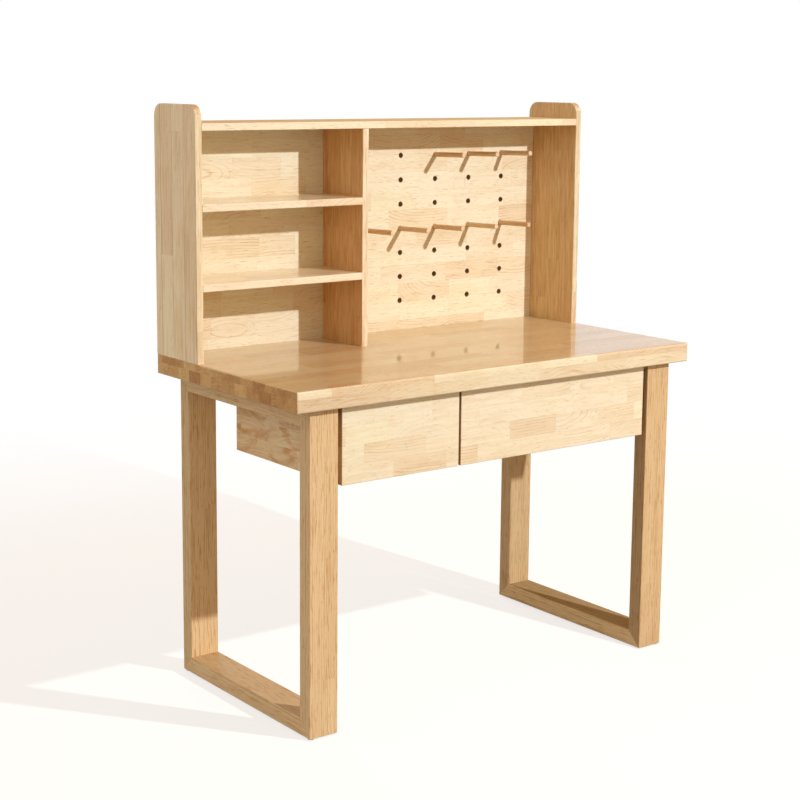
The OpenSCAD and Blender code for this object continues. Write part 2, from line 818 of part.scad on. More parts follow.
// Dowels between the desktop and the feet of the hutch's uprights
module hutch_dowels() {
    color("tan") for (x = post_xs, y = post_dowel_ys)
        pin_z([x, y, desk_h], post_dowel_d, post_dowel_len / 2, post_dowel_len / 2);
}
module hutch_post_holes() {
    for (x = post_xs) {
        for (y = post_dowel_ys)
            pin_z([x, y, desk_h], post_dowel_d + 2 * hole_clear, eps, post_hole_depth);
        for (y = post_screw_ys) hutch_screw_hole([x, y, under_z]);
    }
}

// Screws with flat heads, sunk in the desktop's underside
module hutch_screws() {
    color("silver") for (x = post_xs, y = post_screw_ys)
        translate([x, y, under_z + hutch_screw_sink]) {
            translate([0, 0, -hutch_screw_head_h])
                cylinder(h = hutch_screw_head_h, d = hutch_screw_head_d);
            cylinder(h = hutch_screw_len - hutch_screw_head_h, d = hutch_screw_d);
        }
}
module hutch_screw_hole(p) {
    translate(p) {
        translate([0, 0, -eps])
            cylinder(h = hutch_screw_sink + eps, d = hutch_screw_head_d + 2 * sink_play);
        cylinder(h = hutch_screw_sink + hutch_screw_len, d = hutch_screw_d + 2 * hole_clear);
    }
}

// Two upright dowels between the divider and the top board
module divider_top_pins(d, extra) {
    in_end = dowel_len - dowel_face_depth + extra;
    for (y = board_dowel_ys)
        pin_z([post_xs[1], y, top_z], d, in_end, dowel_face_depth + extra);
}
module divider_top_holes() {
    divider_top_pins(dowel_d + 2 * hole_clear, hole_end_gap);
}

module shelf_dowels() {
    color("tan") {
        face_dowels(top_joints);
        face_dowels(panel_joints);
        face_dowels(shelf_side_joints);
        face_dowels(shelf_divider_joints);
        divider_top_pins(dowel_d, 0);
    }
}

desktop();
front_post(-1);  // left_front_post
rear_post(-1);  // left_rear_post
top_rail(-1);  // left_top_rail
bottom_rail(-1);  // left_bottom_rail
front_post(1);  // right_front_post
rear_post(1);  // right_rear_post
top_rail(1);  // right_top_rail
bottom_rail(1);  // right_bottom_rail
mitre_tenons();
foot_glides();
frame_bolts();
frame_washers();
desktop_inserts();
case_side(-1);  // case_left_side
case_side(1);  // case_right_side
case_partition();
case_back();
case_rail(rail_y0s[0]);  // case_front_rail
case_rail(rail_y0s[1]);  // case_rear_rail
case_dowels();
case_screws();
case_bumpers();
slide_case_members();
slide_middles(LEFT);  // left_slide_middles
slide_middles(RIGHT);  // right_slide_middles
drawer_face(LEFT);  // left_drawer_face
drawer_front(LEFT);  // left_drawer_front
drawer_left_side(LEFT);  // left_drawer_left_side
drawer_right_side(LEFT);  // left_drawer_right_side
drawer_back(LEFT);  // left_drawer_back
drawer_bottom(LEFT);  // left_drawer_bottom
drawer_slide_members(LEFT);  // left_drawer_slide_members
drawer_face(RIGHT);  // right_drawer_face
drawer_front(RIGHT);  // right_drawer_front
drawer_left_side(RIGHT);  // right_drawer_left_side
drawer_right_side(RIGHT);  // right_drawer_right_side
drawer_back(RIGHT);  // right_drawer_back
drawer_bottom(RIGHT);  // right_drawer_bottom
drawer_slide_members(RIGHT);  // right_drawer_slide_members
hutch_side(-1);  // hutch_left_side
hutch_side(1);  // hutch_right_side
hutch_divider();
hutch_top();
shelf(shelf_zs[1]);  // upper_shelf
shelf(shelf_zs[0]);  // lower_shelf
hutch_back();
hutch_dowels();
shelf_dowels();
hutch_screws();
peg(0);  // peg_1
peg(1);  // peg_2
peg(2);  // peg_3
peg(3);  // peg_4
peg(4);  // peg_5
peg(5);  // peg_6
peg(6);  // peg_7
peg(7);  // peg_8
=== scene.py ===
import math

import bpy
from mathutils import Matrix, Vector


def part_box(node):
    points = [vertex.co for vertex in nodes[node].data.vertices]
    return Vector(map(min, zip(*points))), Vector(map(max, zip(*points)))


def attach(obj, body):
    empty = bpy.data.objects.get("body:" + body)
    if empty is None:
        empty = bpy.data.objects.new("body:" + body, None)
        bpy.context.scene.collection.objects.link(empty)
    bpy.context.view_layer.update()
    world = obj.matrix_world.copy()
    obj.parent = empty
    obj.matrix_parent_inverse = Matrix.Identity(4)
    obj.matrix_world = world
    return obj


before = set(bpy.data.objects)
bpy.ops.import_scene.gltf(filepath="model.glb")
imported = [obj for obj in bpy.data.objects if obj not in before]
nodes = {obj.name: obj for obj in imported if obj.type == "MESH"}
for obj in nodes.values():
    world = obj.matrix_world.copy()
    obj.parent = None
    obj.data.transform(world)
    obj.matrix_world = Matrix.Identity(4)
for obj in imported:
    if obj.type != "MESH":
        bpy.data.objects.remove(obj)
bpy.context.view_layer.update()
print("frame loaded,", len(nodes), "parts")


# Camera, lights and floor

cameraLook = {
    "place": (-2.5305, -3.2128, 1.4704),
    "yaw": 37.17,  # degrees from +Y towards +X
    "pitch": 9.1,  # degrees down
    "roll": 0.5,
    "lens": 74.9,
    "sensor": 36,
    "shiftY": -0.073,
    "reach": 100,
}


def addObject(name, data):
    made = bpy.data.objects.new(name, data)
    bpy.context.scene.collection.objects.link(made)
    return made


def makeCamera(look):
    data = bpy.data.cameras.new("camera")
    data.sensor_width = look["sensor"]
    data.lens = look["lens"]
    data.shift_y = look["shiftY"]
    data.clip_end = look["reach"]
    camera = addObject("camera", data)
    yaw, pitch, roll = (math.radians(look[name]) for name in ("yaw", "pitch", "roll"))
    ahead = Vector((math.sin(yaw) * math.cos(pitch), math.cos(yaw) * math.cos(pitch), -math.sin(pitch)))
    side = Vector((math.cos(yaw), -math.sin(yaw), 0))
    up = side.cross(ahead)
    right = side * math.cos(roll) + up * math.sin(roll)
    top = up * math.cos(roll) - side * math.sin(roll)
    turn = Matrix((right, top, -ahead)).transposed()
    camera.matrix_world = Matrix.Translation(look["place"]) @ turn.to_4x4()
    bpy.context.scene.camera = camera


lightLook = {
    "keyPlace": (0.855, -2.180, 2.171),  # solved from the shadows on the back panel and the rear posts
    "keyRadius": 0.03,
    "keyStrength": 30.0,  # the same at every distance
    "keyColor": (0.94, 0.97, 1.0),
    "rearPlace": (0.8, 3.4, 2.2),
    "rearSize": 2.2,
    "rearPower": 26,
    "aim": (0, 0, 0.7),
    "skyColor": (0.56, 0.355, 0.175),
    "leftColor": (0.92, 0.85, 0.77),  # the sky's left side is the brighter one
    "leftEdge": (0.1, 0.9),
}
white = (1, 1, 1, 1)


class Term:
    # A socket of a node tree. Sums on it add Math nodes, and node() adds any other node.
    def __init__(self, tree, socket=None):
        self.tree = tree
        self.socket = socket

    def node(self, kind, settings=None, inputs=None, output=0):
        made = self.tree.nodes.new(kind)
        for name, value in (settings or {}).items():
            if name == "stops":
                self.setStops(made.color_ramp, value)
            else:
                setattr(made, name, value)
        for name, value in (inputs or {}).items():
            if isinstance(value, Term):
                self.tree.links.new(value.socket, made.inputs[name])
            else:
                made.inputs[name].default_value = value
        return Term(self.tree, made.outputs[output]) if made.outputs else None

    def setStops(self, ramp, stops):
        while len(ramp.elements) < len(stops):
            ramp.elements.new(1)
        for element, (place, color) in zip(ramp.elements, stops):
            element.position = place
            element.color = (*color, 1)

    def other(self, output):
        return Term(self.tree, self.socket.node.outputs[output])

    def math(self, operation, *values):
        return self.node("ShaderNodeMath", {"operation": operation}, dict(enumerate(values)))

    def __add__(self, value):
        return self.math("ADD", self, value)

    def __radd__(self, value):
        return self.math("ADD", value, self)

    def __sub__(self, value):
        return self.math("SUBTRACT", self, value)

    def __rsub__(self, value):
        return self.math("SUBTRACT", value, self)

    def __mul__(self, value):
        return self.math("MULTIPLY", self, value)

    def __rmul__(self, value):
        return self.math("MULTIPLY", value, self)

    def __truediv__(self, value):
        return self.math("DIVIDE", self, value)

    def __rtruediv__(self, value):
        return self.math("DIVIDE", value, self)


def smooth(value, low, high, start=0.0, end=1.0):
    return value.node("ShaderNodeMapRange", {"interpolation_type": "SMOOTHSTEP"},
                      {0: value, 1: low, 2: high, 3: start, 4: end})


def mixed(factor, first, second):
    return factor.node("ShaderNodeMix", {"data_type": "RGBA"}, {0: factor, 6: first, 7: second}, 2)


def tinted(color, tint):
    return color.node("ShaderNodeVectorMath", {"operation": "MULTIPLY"}, {0: color, 1: tint})


def scaled(color, amount):
    return color.node("ShaderNodeVectorMath", {"operation": "SCALE"}, {0: color, "Scale": amount})


def noise(place, scale, detail=2.0, roughness=0.5, distortion=0.0):
    return place.node("ShaderNodeTexNoise", None, {"Vector": place, "Scale": scale, "Detail": detail,
                                                   "Roughness": roughness, "Distortion": distortion})


def chance(value):
    return value.node("ShaderNodeTexWhiteNoise", {"noise_dimensions": "1D"}, {"W": value}, "Value")


def vector(x, y, z):
    return x.node("ShaderNodeCombineXYZ", None, {0: x, 1: y, 2: z})


def newMaterial(name):
    material = bpy.data.materials.new(name)
    material.use_nodes = True
    material.node_tree.nodes.clear()
    start = Term(material.node_tree)
    start.material = material
    return start


def finishMaterial(start, sockets):
    shader = start.node("ShaderNodeBsdfPrincipled", None, sockets)
    start.node("ShaderNodeOutputMaterial", None, {"Surface": shader})
    return start.material


def objectPlace(start):
    return start.node("ShaderNodeTexCoord", None, None, "Object")


def shownSurround(start):
    # 1 where the camera, a gloss or a clear piece sees the surround, 0 where it only lights the bench
    path = start.node("ShaderNodeLightPath")
    shown = path.math("MAXIMUM", path, path.other("Is Glossy Ray"))
    return shown.math("MAXIMUM", shown, path.other("Is Transmission Ray"))


floorLook = {
    "radius": 40.0,
    "color": (0.30, 0.295, 0.28),
    "glow": 0.72,  # what the camera sees on top of the lit floor
    "fade": (1.3, 3.4),  # from the bench to where the floor is plain white
}


def makeFloor(look):
    mesh = bpy.data.meshes.new("floor")
    r = look["radius"]
    mesh.from_pydata([(-r, -r, 0), (r, -r, 0), (r, r, 0), (-r, r, 0)], [], [(0, 1, 2, 3)])
    floor = addObject("floor", mesh)
    start = newMaterial("pale_floor")
    shown = shownSurround(start)
    far = objectPlace(start)
    far = far.node("ShaderNodeVectorMath", {"operation": "LENGTH"}, {0: far}, "Value")
    far = smooth(far, *look["fade"])
    lit = start.node("ShaderNodeBsdfDiffuse", None, {"Color": (*look["color"], 1)})
    glow = start.node("ShaderNodeEmission", None, {"Color": white, "Strength": look["glow"]})
    near = start.node("ShaderNodeAddShader", None, {0: lit, 1: glow})
    plain = start.node("ShaderNodeEmission", None, {"Color": white, "Strength": 1.0})
    surround = start.node("ShaderNodeMixShader", None, {0: far, 1: near, 2: plain})
    whole = start.node("ShaderNodeMixShader", None, {0: shown, 1: lit, 2: surround})
    start.node("ShaderNodeOutputMaterial", None, {"Surface": whole})
    mesh.materials.append(start.material)


def makeLamp(name, kind, place, aim, **settings):
    data = bpy.data.lights.new(name, kind)
    for key, value in settings.items():
        setattr(data, key, value)
    lamp = addObject(name, data)
    lamp.location = place
    ahead = Vector(aim) - Vector(place)
    lamp.rotation_euler = ahead.to_track_quat("-Z", "Y").to_euler()
    lamp.visible_glossy = False  # gloss shows the pale surround and no lamp
    return data


def makeLights(look):
    key = makeLamp("keyLamp", "POINT", look["keyPlace"], look["aim"], use_nodes=True, energy=1.0,
                   color=look["keyColor"], shadow_soft_size=look["keyRadius"])
    key.node_tree.nodes.clear()
    start = Term(key.node_tree)
    even = start.node("ShaderNodeLightFalloff", None, {"Strength": look["keyStrength"]}, "Constant")
    glow = start.node("ShaderNodeEmission", None, {"Color": white, "Strength": even})
    start.node("ShaderNodeOutputLight", None, {"Surface": glow})
    makeLamp("rearLamp", "AREA", look["rearPlace"], look["aim"], energy=look["rearPower"],
             shape="DISK", size=look["rearSize"])


def makeWorld(look):
    world = bpy.data.worlds.new("studio")
    world.use_nodes = True
    world.node_tree.nodes.clear()
    start = Term(world.node_tree)
    ahead = start.node("ShaderNodeTexCoord", None, None, "Generated")
    leftward = 0.0 - start.node("ShaderNodeSeparateXYZ", None, {0: ahead})
    sky = mixed(smooth(leftward, *look["leftEdge"]), (*look["skyColor"], 1), (*look["leftColor"], 1))
    fill = start.node("ShaderNodeBackground", None, {"Color": sky, "Strength": 1.0})
    plain = start.node("ShaderNodeBackground", None, {"Color": white, "Strength": 1.0})
    both = start.node("ShaderNodeMixShader", None, {0: shownSurround(start), 1: fill, 2: plain})
    start.node("ShaderNodeOutputWorld", None, {"Surface": both})
    bpy.context.scene.world = world


makeCamera(cameraLook)
makeLights(lightLook)
makeFloor(floorLook)
makeWorld(lightLook)
bpy.context.scene.view_settings.view_transform = "Standard"
print("camera, lights and floor set")


# Wood: boards glued up from staves, each stave a row of finger-jointed blocks

creamTones = [
    (0.00, (0.935, 0.838, 0.595)),
    (0.15, (0.945, 0.840, 0.635)),
    (0.50, (0.935, 0.805, 0.595)),
    (0.75, (0.915, 0.765, 0.540)),
    (0.90, (0.900, 0.735, 0.510)),
    (1.00, (0.865, 0.685, 0.470)),
]
longTones = [
    (0.00, (0.985, 0.885, 0.650)),
    (0.50, (0.960, 0.830, 0.600)),
    (1.00, (0.900, 0.740, 0.515)),
]
topTones = [
    (0.00, (0.980, 0.860, 0.610)),
    (0.60, (0.950, 0.785, 0.525)),
    (1.00, (0.850, 0.640, 0.400)),
]
legTones = [
    (0.00, (0.870, 0.650, 0.375)),
    (1.00, (0.830, 0.600, 0.335)),
]

# lengths in metres; a size has two of them, along the grain and across it
boardLook = {
    "tones": creamTones,  # palest block to darkest block
    "tint": (1.0, 1.0, 1.0),
    "staveWidth": 0.045,
    "staveStart": 0.0,  # from the board's middle to a joint between two staves
    "blockLength": 0.17,
    "blockSpread": 0.85,  # 0 makes all blocks equally long
    "rowShift": 7.31,  # in blocks, from one stave to the next
    "layerSplit": -1.0,  # height over the middle where a second layer of staves starts
    "layerShift": 3.7,
    "seed": 0.0,
    "pithSpread": 0.14,
    "pithDepth": 0.012,
    "paleDepth": 0.05,  # how much deeper the pith of the palest block lies
    "pithAside": 0.0,
    "lean": 0.35,
    "bow": 2.0,
    "wobble": 0.015,
    "wobbleSize": (1 / 6, 1 / 16),
    "ringGap": 0.0070,
    "ringWidth": 0.30,  # share of a ring's gap that its dark line takes
    "ringDark": 1.0,
    "ringFaint": 0.25,  # how dark the faintest ring is
    "ringPlain": 0.25,  # how much of the rings shows in the plainest blocks
    "ringTint": (0.72, 0.59, 0.42),
    "ringFade": (0.36, 0.60),
    "fadeSize": (1 / 9, 1 / 34),
    "figured": (0.40, 0.80),  # which blocks show all of their rings, by a sum of two draws
    "figuredTone": 0.6,  # the share of the block's tone in that sum
    "flame": 0.35,
    "flameSize": (0.11, 0.03),
    "flameTwist": 0.8,
    "flameEdge": (0.46, 0.70),
    "flameTint": (0.90, 0.80, 0.66),
    "streak": 0.12,
    "streakSize": (0.2, 0.0077),
    "streakTint": (0.75, 1.0, 1.35),  # dark streaks are browner
    "fibreSize": (1 / 30, 1 / 900),
    "fibreTone": 0.06,
    "poreSize": (1 / 60, 1 / 560),
    "poreFrom": 0.66,
    "dashSize": (0.030, 0.0017),
    "dashFrom": 0.63,  # lower makes more of the long pores
    "poreEdge": 0.1,
    "poreDark": 0.60,
    "poreTint": (0.64, 0.48, 0.30),
    "seamWidth": 0.0009,
    "seamDark": 0.08,
    "glueWidth": (0.0003, 0.0016),
    "glueShare": (0.45, 0.55),
    "glueFade": (0.40, 0.52),
    "glueLength": 0.25,
    "glueRowShift": 3.1,
    "glueDark": 0.0,
    "glueTint": (0.50, 0.36, 0.24),
    "endTurn": (0.5, 0.9),  # how far a surface looks along the grain before it shows end grain
    "endTint": (0.84, 0.70, 0.52),
    "endDark": (0.66, 0.46, 0.28),
    "endArcs": 785.0,  # radians of the end grain's arcs in a metre of radius
    "endArcEdge": (-0.2, 1.0),
    "endParts": (0.9, 0.25, 0.3),  # what block, arcs and flames add to the end grain's darkness
    "endEdge": (0.1, 1.1),
    "faceTurn": (0.6, 0.9),
    # painted shade: a darker tint on the board's broad faces; None leaves them as they are
    "paintedFaceShade": None,
    "paintedEdgeShade": None,  # painted shade on the edges and in what is bored through the face
    "roughness": 0.42,
    "fibreRough": 0.12,
    "poreRough": 0.15,
    "specular": 0.22,
    "coat": 0.10,
    "endCoat": 0.05,
    "coatRoughness": 0.25,
    "bump": 0.15,
    "bumpDepth": 0.0004,
    "fibreHeight": 0.25,
    "seamDepth": 4,
}


def boardSpace(start, node, axes, look):
    # axes: the letters of the directions along the grain, across the staves and through the board
    low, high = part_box(node)
    middle = tuple((low + high) / 2)
    place = objectPlace(start)
    place = place.node("ShaderNodeVectorMath", {"operation": "SUBTRACT"}, {0: place, 1: middle})
    parts = start.node("ShaderNodeSeparateXYZ", None, {0: place})
    normal = start.node("ShaderNodeNewGeometry", None, None, "Normal")
    facing = start.node("ShaderNodeSeparateXYZ", None, {0: normal})
    along, across, through = (parts.other("XYZ".index(letter)) for letter in axes)
    endOn, _, faceOn = (facing.other("XYZ".index(letter)) for letter in axes)
    return {"along": along, "across": across, "through": through,
            "end": smooth(endOn.math("ABSOLUTE", endOn), *look["endTurn"]),
            "face": smooth(faceOn.math("ABSOLUTE", faceOn), *look["faceTurn"])}


def staveBlocks(space, look):
    along, across = space["along"], space["across"]
    under = across.math("LESS_THAN", space["through"], look["layerSplit"])
    count = (across - look["staveStart"]) / look["staveWidth"] + under * 0.5  # half a stave aside
    row = count.math("FLOOR", count)
    inRow = count - row - 0.5
    at = along / look["blockLength"] + row * look["rowShift"] + under * look["layerShift"] + look["seed"]
    settings = {"voronoi_dimensions": "1D", "feature": "F1"}
    sockets = {"W": at, "Scale": 1.0, "Randomness": look["blockSpread"]}
    cell = at.node("ShaderNodeTexVoronoi", settings, sockets, "Color")
    draw = cell.node("ShaderNodeSeparateColor", None, {0: cell})
    settings = {"voronoi_dimensions": "1D", "feature": "DISTANCE_TO_EDGE"}
    endGap = at.node("ShaderNodeTexVoronoi", settings, sockets, "Distance") * look["blockLength"]
    sideGap = (0.5 - inRow.math("ABSOLUTE", inRow)) * look["staveWidth"]
    return {"row": row, "inRow": inRow * look["staveWidth"], "endGap": endGap, "sideGap": sideGap,
            "glue": chance(row + look["seed"]), "inBlock": (at - cell.other("W")) * look["blockLength"],
            "tone": draw.other(0), "lean": draw.other(1), "shift": draw.other(2)}


def grainNoise(space, size, alongShift, acrossShift=0.0, detail=2.0, roughness=0.5, distortion=0.0):
    # noise drawn out along the grain, moved by a block's own draws so that no two blocks match
    length, width = size
    place = vector(space["along"] / length + alongShift, space["across"] / width + acrossShift,
                   space["through"] / width)
    return noise(place, 1.0, detail, roughness, distortion)


def growthRings(space, block, look):
    # thin dark lines on cylinders round a leaning, bowed pith somewhere beside each block
    lean, shift, tone, inBlock = (block[name] for name in ("lean", "shift", "tone", "inBlock"))
    wobble = grainNoise(space, look["wobbleSize"], shift * 31, tone * 17) - 0.5
    aside = block["inRow"] + (shift - 0.5) * look["pithSpread"] + look["pithAside"]
    inwards = space["through"] + inBlock * ((lean - 0.5) * look["lean"]) + inBlock * inBlock * look["bow"]
    inwards = inwards + (1 - tone) * look["paleDepth"] + look["pithDepth"]
    radius = aside.math("SQRT", aside * aside + inwards * inwards) + wobble * look["wobble"]
    turns = radius / look["ringGap"]
    ring = turns.math("FLOOR", turns)
    turn = turns - ring
    darkest, fading, last = 0.90, 0.92, 0.97  # places in a ring's gap
    line = smooth(turn, last - look["ringWidth"], darkest) * smooth(turn, fading, 1.0, 1.0, 0.0)
    line = line * (look["ringFaint"] + (1 - look["ringFaint"]) * chance(ring + tone * 40))
    fade = grainNoise(space, look["fadeSize"], tone * 50)
    figured = tone * look["figuredTone"] + lean * (1 - look["figuredTone"])
    figured = smooth(figured, *look["figured"])
    figured = look["ringPlain"] + (1 - look["ringPlain"]) * figured
    return line * smooth(fade, *look["ringFade"]) * figured, radius


def woodFibres(space, block, look):
    lean, shift, tone = (block[name] for name in ("lean", "shift", "tone"))
    streak = grainNoise(space, look["streakSize"], shift * 23, tone * 9, detail=3.0, roughness=0.6)
    fibre = grainNoise(space, look["fibreSize"], shift * 7)
    pore = grainNoise(space, look["poreSize"], lean * 13, detail=1.0)
    dash = grainNoise(space, look["dashSize"], lean * 41, shift * 3, detail=1.0, roughness=0.6)
    pore = pore.math("MAXIMUM", smooth(pore, look["poreFrom"], look["poreFrom"] + look["poreEdge"]),
                     smooth(dash, look["dashFrom"], look["dashFrom"] + look["poreEdge"]))
    return (streak - 0.5) * (2 * look["streak"]), fibre, pore


def flamePatches(space, block, look):
    # where the fibres dip into the board it drinks more lacquer
    patch = grainNoise(space, look["flameSize"], block["lean"] * 37, block["shift"] * 19,
                       distortion=look["flameTwist"])
    return smooth(patch, *look["flameEdge"])


def boardSeams(space, block, look):
    # the joints between blocks, and dark glue that fills some of those between staves
    side = block["sideGap"]
    seam = smooth(side.math("MINIMUM", side, block["endGap"]), 0.0, look["seamWidth"], 1.0, 0.0)
    glue = smooth(side, *look["glueWidth"], 1.0, 0.0) * smooth(block["glue"], *look["glueShare"])
    fade = vector(space["along"] / look["glueLength"], block["row"] * look["glueRowShift"], look["seed"])
    fade = smooth(noise(fade, 1.0, 1.0), *look["glueFade"])
    return seam * look["seamDark"], glue * fade * look["glueDark"]


def endGrain(color, block, radius, flame, look):
    arcs = smooth(radius.math("SINE", radius * look["endArcs"]), *look["endArcEdge"])
    blockPart, arcPart, flamePart = look["endParts"]
    mottle = smooth(block["lean"] * blockPart + arcs * arcPart + flame * flamePart, *look["endEdge"])
    return mixed(mottle, tinted(color, look["endTint"]), tinted(color, look["endDark"]))


def makeBoardWood(node, axes, look):
    start = newMaterial(node + "_wood")
    space = boardSpace(start, node, axes, look)
    block = staveBlocks(space, look)
    ring, radius = growthRings(space, block, look)
    streak, fibre, pore = woodFibres(space, block, look)
    flame = flamePatches(space, block, look)
    seam, glue = boardSeams(space, block, look)

    color = start.node("ShaderNodeValToRGB", {"stops": look["tones"]}, {0: block["tone"]})
    color = tinted(color, look["tint"])
    color = mixed(flame * look["flame"], color, tinted(color, look["flameTint"]))
    color = mixed(ring * look["ringDark"], color, tinted(color, look["ringTint"]))
    color = mixed(pore * look["poreDark"], color, tinted(color, look["poreTint"]))
    color = mixed(space["end"], color, endGrain(color, block, radius, flame, look))
    # painted shade on the broad faces
    if look["paintedFaceShade"]:
        color = mixed(space["face"], color, tinted(color, look["paintedFaceShade"]))
    # painted shade on the edges and in the bores
    if look["paintedEdgeShade"]:
        color = mixed(space["face"], tinted(color, look["paintedEdgeShade"]), color)
    color = mixed(glue, color, tinted(color, look["glueTint"]))
    color = tinted(color, vector(*(1 + streak * share for share in look["streakTint"])))
    color = scaled(color, ((fibre - 0.5) * look["fibreTone"] + 1) * (1 - seam))

    roughness = look["roughness"] + (fibre - 0.5) * look["fibreRough"] + pore * look["poreRough"]
    coat = look["coat"] + space["end"] * (look["endCoat"] - look["coat"])
    height = fibre * look["fibreHeight"] - pore - seam * look["seamDepth"]
    bump = start.node("ShaderNodeBump", None, {"Strength": look["bump"], "Distance": look["bumpDepth"],
                                               "Height": height})
    return finishMaterial(start, {"Base Color": color, "Roughness": roughness, "Normal": bump,
                                  "Specular IOR Level": look["specular"], "Coat Weight": coat,
                                  "Coat Roughness": look["coatRoughness"]})


def dress(material, *names):
    for name in names:
        mesh = nodes[name].data
        mesh.materials.clear()
        mesh.materials.append(material)


def dressWood(name, axes, *changes):
    look = dict(boardLook)
    for change in changes:
        look.update(change)
    dress(makeBoardWood(name, axes, look), name)


# painted shade: the face tint darkens the desktop's top and underside below its edges
desktopLook = {
    "tones": topTones, "staveWidth": 0.0508, "staveStart": 0.0254, "blockLength": 0.26,
    "layerSplit": 0.006, "streak": 0.14, "seamDark": 0.05, "endTint": (0.80, 0.61, 0.38),
    "endDark": (0.57, 0.37, 0.19), "paintedFaceShade": (0.71, 0.62, 0.52), "roughness": 0.35, "specular": 0.1,
    "coat": 0.80, "coatRoughness": 0.06, "bump": 0.05,
}
dressWood("desktop", "XYZ", desktopLook)

faceLook = {
    "staveWidth": 0.044, "staveStart": 0.0, "blockLength": 0.15, "tint": (1.045, 1.07, 1.08),
    "dashFrom": 0.67, "ringDark": 0.85, "endTint": (0.64, 0.49, 0.34), "endDark": (0.46, 0.30, 0.18),
    "specular": 0.1, "coat": 0.04, "endCoat": 0.0,
}
dressWood("left_drawer_face", "XZY", faceLook, {"seed": 20.9})
dressWood("right_drawer_face", "XZY", faceLook, {"seed": 23.4})

sideLook = {
    "tones": longTones, "staveWidth": 0.054, "staveStart": 0.013, "blockLength": 0.9, "ringDark": 0.6,
    "streak": 0.35, "glueDark": 0.8, "lean": 0.04, "bow": 0.05, "wobble": 0.012, "flame": 0.5,
    "dashSize": (0.06, 0.0017),
}
innerLook = dict(sideLook, tones=creamTones, glueDark=0.0, streak=0.36, dashFrom=0.54)
# painted shade: the face tints darken the right side's and the divider's broad faces to a shaded brown,
# and the edge tints darken the side panels' edges
dressWood("hutch_left_side", "ZYX", sideLook, {
    "seed": 2.0, "tint": (1.03, 1.00, 0.94), "paintedEdgeShade": (0.86, 0.84, 0.83)})
dressWood("hutch_right_side", "ZYX", innerLook, {
    "seed": 5.0, "paintedFaceShade": (0.74, 0.57, 0.38), "paintedEdgeShade": (0.90, 0.87, 0.86)})
dressWood("hutch_divider", "ZYX", innerLook, {"seed": 8.0, "paintedFaceShade": (0.76, 0.53, 0.32)})

shelfLook = {"blockLength": 0.3, "coat": 0.7, "coatRoughness": 0.10}
# painted shade: the face tint darkens the top board's top and underside
dressWood("hutch_top", "XYZ", shelfLook, {
    "seed": 4.0, "paintedFaceShade": (0.82, 0.77, 0.70), "specular": 0.0, "coat": 0.0, "endCoat": 0.0})
dressWood("upper_shelf", "XYZ", shelfLook, {"seed": 6.5})
dressWood("lower_shelf", "XYZ", shelfLook, {"seed": 9.5})

# painted shade: the edge tint darkens the back's edges and the peg bores to a deep brown
backLook = {
    "staveWidth": 0.049, "tint": (0.940, 0.985, 1.015), "paintedEdgeShade": (0.39, 0.27, 0.11), "specular": 0.1,
    "coat": 0.04, "endCoat": 0.0, "seed": 12.4,
}
dressWood("hutch_back", "XZY", backLook)

caseLook = {
    "tint": (1.03, 0.95, 0.80), "flame": 1.0, "flameSize": (0.09, 0.045),
    "flameTint": (0.76, 0.56, 0.37), "streak": 0.2, "ringWidth": 0.5, "ringPlain": 0.5,
    "ringTint": (0.74, 0.52, 0.34),
}
for seed, name in enumerate(("case_left_side", "case_right_side", "case_partition")):
    dressWood(name, "YZX", caseLook, {"seed": 7.0 + seed})
dressWood("case_back", "XZY", caseLook, {"seed": 8.2})
dressWood("case_front_rail", "XYZ", caseLook, {"seed": 8.9})
dressWood("case_rear_rail", "XYZ", caseLook, {"seed": 9.9})

legLook = {
    "tones": legTones, "staveWidth": 0.0381, "blockLength": 4.0, "ringGap": 0.0056, "ringWidth": 0.36,
    "ringDark": 0.95, "ringPlain": 0.9, "pithAside": 0.16, "pithSpread": 0.02, "pithDepth": 0.05,
    "lean": 0.02, "bow": 0.0, "wobble": 0.002, "flame": 0.10, "streak": 0.17,
    "streakSize": (0.5, 0.004), "dashSize": (0.045, 0.0019), "dashFrom": 0.57, "poreDark": 0.75,
    "poreTint": (0.72, 0.52, 0.36), "seamDark": 0.03, "specular": 0.1, "coat": 0.05, "endCoat": 0.0,
}
# painted shade: the edge tints darken the posts' sides, most on the right front post's side under the
# drawers
postLooks = {
    "left_front_post": {"seed": 2.0, "paintedEdgeShade": (0.95, 0.95, 0.97)},
    "left_rear_post": {"seed": 2.7, "paintedEdgeShade": (0.87, 0.87, 0.84)},
    "right_front_post": {"seed": 4.0, "tint": (0.91, 0.87, 0.83), "paintedEdgeShade": (0.66, 0.62, 0.59)},
    "right_rear_post": {"seed": 4.7, "tint": (0.78, 0.76, 0.74), "paintedEdgeShade": (0.95, 0.91, 0.88)},
}
for name, look in postLooks.items():
    dressWood(name, "ZXY", legLook, look)
# painted shade: the face tints darken the rails' top and bottom faces, most on the right bottom rail,
# which lies in the right front post's shadow
railLooks = {
    "left_top_rail": {"seed": 7.0, "paintedFaceShade": (0.68, 0.63, 0.58)},
    "left_bottom_rail": {"seed": 7.7, "paintedFaceShade": (0.64, 0.59, 0.53)},
    "right_top_rail": {"seed": 9.0, "paintedFaceShade": (0.68, 0.63, 0.58)},
    "right_bottom_rail": {"seed": 9.7, "paintedFaceShade": (0.47, 0.46, 0.43), "specular": 0.0, "coat": 0.0},
}
for name, look in railLooks.items():
    dressWood(name, "YXZ", legLook, look)

dowelLook = {
    "blockLength": 4.0, "staveWidth": 1.0, "staveStart": 0.5, "bow": 0.0, "ringDark": 0.3,
    "seamDark": 0.0, "endTint": (1.06, 1.06, 1.04), "endDark": (1.0, 0.98, 0.94),
}
